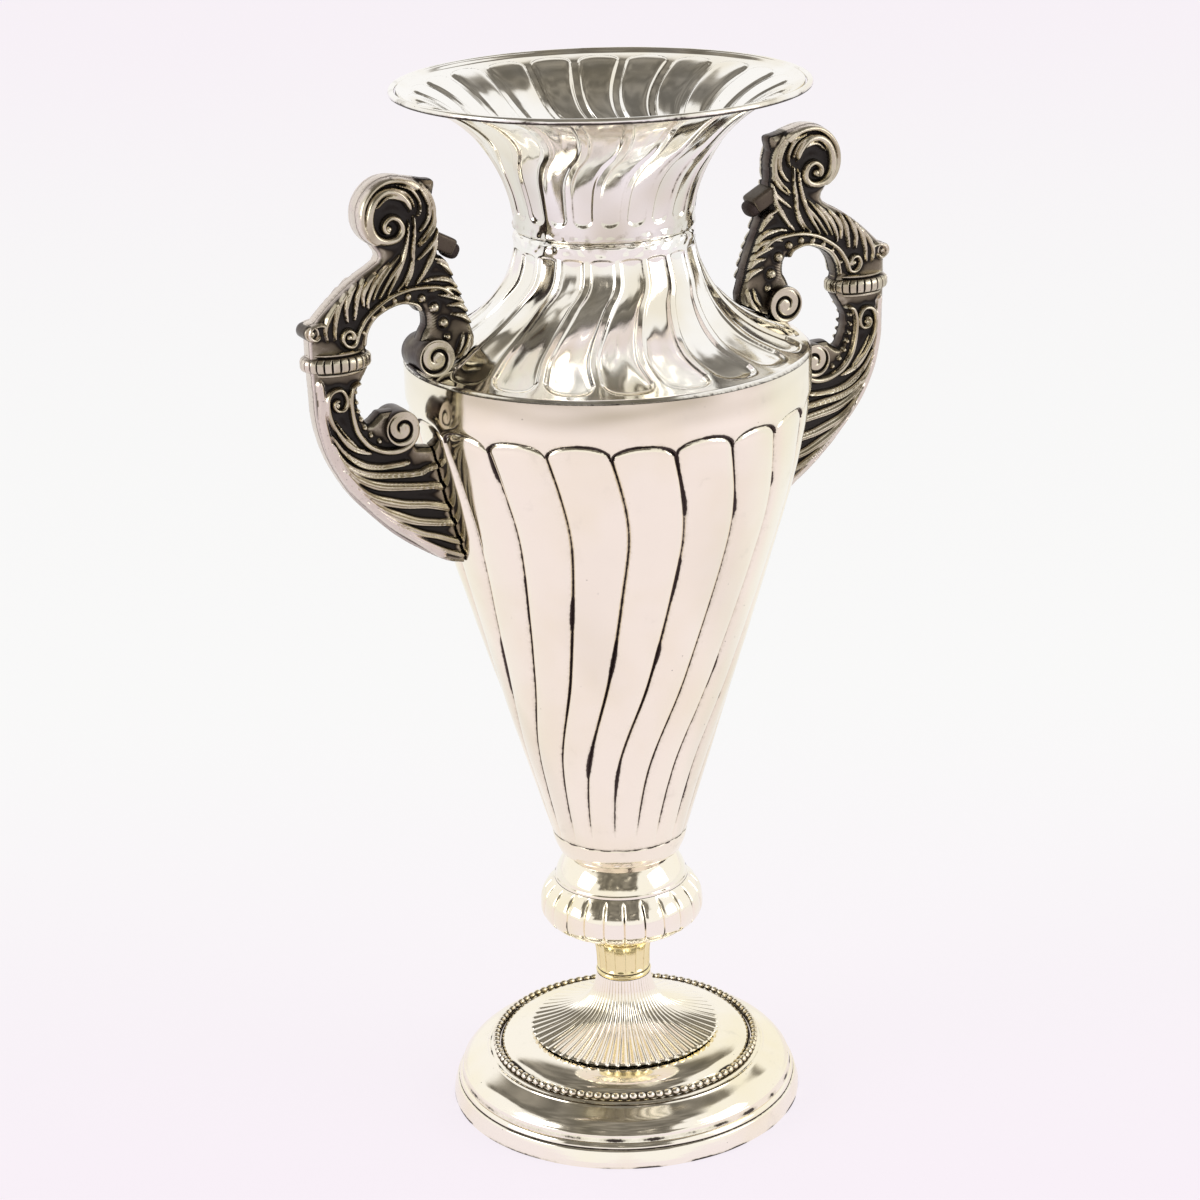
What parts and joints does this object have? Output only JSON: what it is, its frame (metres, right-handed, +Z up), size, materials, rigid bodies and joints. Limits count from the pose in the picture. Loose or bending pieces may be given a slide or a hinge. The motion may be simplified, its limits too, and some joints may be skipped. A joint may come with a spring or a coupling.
{
  "type": "metal urn",
  "caption": "Tall two-handled pedestal urn in silver-plated metal with swirled flutes, flared neck, cast scroll handles and a beaded round foot.",
  "frame": {"origin": "on the urn's axis, at the face the foot rests on", "axes": "+Z up along the urn's axis; the two handles lie along +X and -X"},
  "size_m": [0.3602, 0.2272, 0.5997],
  "materials": {
    "silver_plate": "polished silver plate, faintly rippled, with dark tarnish in the grooves",
    "gilt_brass": "worn plate over warm brass, polished",
    "antique_cast": "cast, antiqued silver with near-black recesses and rubbed highlights",
    "steel": "plain zinc-plated steel"
  },
  "bodies": {
    "root": {"foot_rim_band": "silver_plate", "foot_ogee": "silver_plate", "bead_wire": "silver_plate", "foot_dome": "silver_plate", "foot_trumpet": "silver_plate", "stem_collar": "gilt_brass", "knop_lower": "silver_plate", "knop_upper": "silver_plate", "body_cup": "silver_plate", "body_shell": "silver_plate", "shoulder_flare": "silver_plate", "neck_bell": "silver_plate", "rim_wire": "silver_plate", "handle_right": "antique_cast", "handle_left": "antique_cast", "side_screw_right": "steel", "side_washer_right": "steel", "top_screw_right": "steel", "top_washer_right": "steel", "side_screw_left": "steel", "side_washer_left": "steel", "top_screw_left": "steel", "top_washer_left": "steel", "tie_rod": "steel", "foot_washer": "steel", "foot_nut": "steel", "body_washer": "steel", "body_nut": "steel"}
  },
  "joints": []
}
